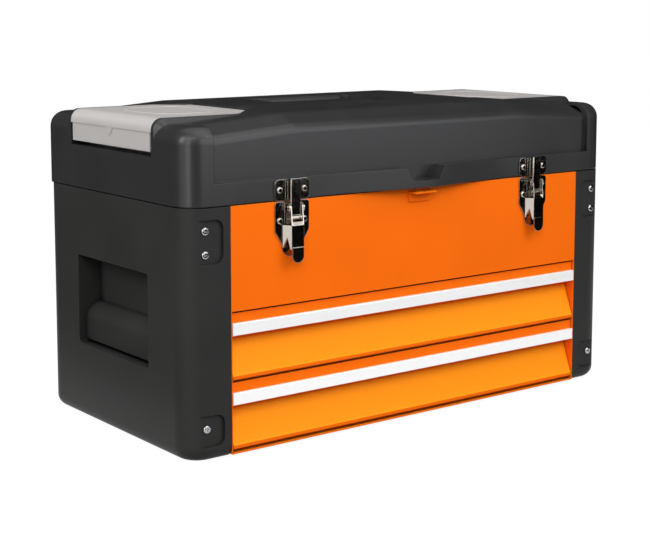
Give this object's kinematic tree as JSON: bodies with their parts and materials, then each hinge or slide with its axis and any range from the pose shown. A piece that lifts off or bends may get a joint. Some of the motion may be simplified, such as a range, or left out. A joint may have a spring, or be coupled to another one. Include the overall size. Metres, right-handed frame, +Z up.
{
  "type": "portable tool box with drawers",
  "caption": "Portable tool box: steel cabinet between moulded end panels, sliding drawers under a latched domed lid with lidded bins and a folding carry handle.",
  "frame": {"origin": "on the floor, under the middle of the closed box with its latches and hinges", "axes": "+Z up, -Y out of the drawers, +X to the right of someone who faces the drawers"},
  "size_m": [0.525, 0.2848, 0.303],
  "materials": {
    "black_plastic": "satin moulded, fine grain",
    "handle_plastic": "satin moulded",
    "orange_enamel": "semi-gloss baked enamel",
    "aluminium_strip": "bright anodised",
    "latch_nickel": "bright nickel plate",
    "screw_steel": "bright zinc",
    "zinc_steel": "zinc plated",
    "frosted_plastic": "frosted translucent polypropylene"
  },
  "bodies": {
    "cabinet": {"end_panel_left": "black_plastic", "end_panel_right": "black_plastic", "end_panel_screws": "screw_steel", "corner_brackets": "zinc_steel", "side_wall_left": "orange_enamel", "side_wall_right": "orange_enamel", "front_panel": "orange_enamel", "back_panel": "orange_enamel", "bottom_pan": "orange_enamel", "compartment_floor": "orange_enamel", "padlock_tab": "orange_enamel", "latch_base_rivets": "latch_nickel", "hinge_body_leaves": "zinc_steel", "hinge_pins": "zinc_steel", "hinge_body_rivets": "zinc_steel", "latch_base_left": "latch_nickel", "latch_base_right": "latch_nickel", "upper_rail_left": "zinc_steel", "upper_rail_right": "zinc_steel", "lower_rail_left": "zinc_steel", "lower_rail_right": "zinc_steel"},
    "lid": {"lid_shell": "black_plastic", "keeper_left": "latch_nickel", "keeper_right": "latch_nickel", "keeper_rivets": "latch_nickel", "hinge_lid_leaves": "zinc_steel", "hinge_lid_rivets": "zinc_steel", "bin_tray_left": "frosted_plastic", "bin_tray_right": "frosted_plastic", "handle_pins": "zinc_steel"},
    "carry_handle": {"carry_handle": "handle_plastic"},
    "bin_cover_left": {"bin_cover_left": "frosted_plastic"},
    "bin_cover_right": {"bin_cover_right": "frosted_plastic"},
    "upper_drawer": {"upper_drawer_box": "orange_enamel", "upper_drawer_front": "orange_enamel", "upper_drawer_pull": "aluminium_strip", "upper_drawer_rivets": "zinc_steel", "upper_runner_left": "zinc_steel", "upper_runner_right": "zinc_steel"},
    "lower_drawer": {"lower_drawer_box": "orange_enamel", "lower_drawer_front": "orange_enamel", "lower_drawer_pull": "aluminium_strip", "lower_drawer_rivets": "zinc_steel", "lower_runner_left": "zinc_steel", "lower_runner_right": "zinc_steel"},
    "latch_lever_left": {"latch_lever_left": "latch_nickel", "latch_lever_pins_left": "latch_nickel", "latch_claw_pin_left": "latch_nickel"},
    "latch_claw_left": {"latch_claw_left": "latch_nickel"},
    "latch_lever_right": {"latch_lever_right": "latch_nickel", "latch_lever_pins_right": "latch_nickel", "latch_claw_pin_right": "latch_nickel"},
    "latch_claw_right": {"latch_claw_right": "latch_nickel"}
  },
  "joints": [
    {"name": "lid_hinge", "type": "hinge", "parent": "cabinet", "child": "lid", "pos_m": [0, 0.1389, 0.2263], "axis": [-1, 0, 0], "range_deg": [0, 105]},
    {"name": "handle_hinge", "type": "hinge", "parent": "lid", "child": "carry_handle", "pos_m": [0, -0.0079, 0.29435], "axis": [1, 0, 0], "range_deg": [0, 95]},
    {"name": "bin_cover_left_hinge", "type": "hinge", "parent": "lid", "child": "bin_cover_left", "pos_m": [-0.1415, 0, 0.2991], "axis": [0, 1, 0], "range_deg": [0, 100]},
    {"name": "bin_cover_right_hinge", "type": "hinge", "parent": "lid", "child": "bin_cover_right", "pos_m": [0.1415, 0, 0.2991], "axis": [0, -1, 0], "range_deg": [0, 100]},
    {"name": "upper_drawer_slide", "type": "slide", "parent": "cabinet", "child": "upper_drawer", "axis": [0, -1, 0], "range_m": [0, 0.19]},
    {"name": "lower_drawer_slide", "type": "slide", "parent": "cabinet", "child": "lower_drawer", "axis": [0, -1, 0], "range_m": [0, 0.19]},
    {"name": "latch_lever_left_hinge", "type": "hinge", "parent": "cabinet", "child": "latch_lever_left", "pos_m": [-0.152, -0.1354, 0.22], "axis": [-1, 0, 0], "range_deg": [0, 100]},
    {"name": "latch_claw_left_hinge", "type": "hinge", "parent": "latch_lever_left", "child": "latch_claw_left", "pos_m": [-0.152, -0.1364, 0.211], "axis": [1, 0, 0], "range_deg": [0, 100]},
    {"name": "latch_lever_right_hinge", "type": "hinge", "parent": "cabinet", "child": "latch_lever_right", "pos_m": [0.152, -0.1354, 0.22], "axis": [-1, 0, 0], "range_deg": [0, 100]},
    {"name": "latch_claw_right_hinge", "type": "hinge", "parent": "latch_lever_right", "child": "latch_claw_right", "pos_m": [0.152, -0.1364, 0.211], "axis": [1, 0, 0], "range_deg": [0, 100]}
  ],
  "couplings": [
    {"joint": "latch_claw_left_hinge", "follows": "latch_lever_left_hinge", "ratio": 1},
    {"joint": "latch_claw_right_hinge", "follows": "latch_lever_right_hinge", "ratio": 1}
  ]
}
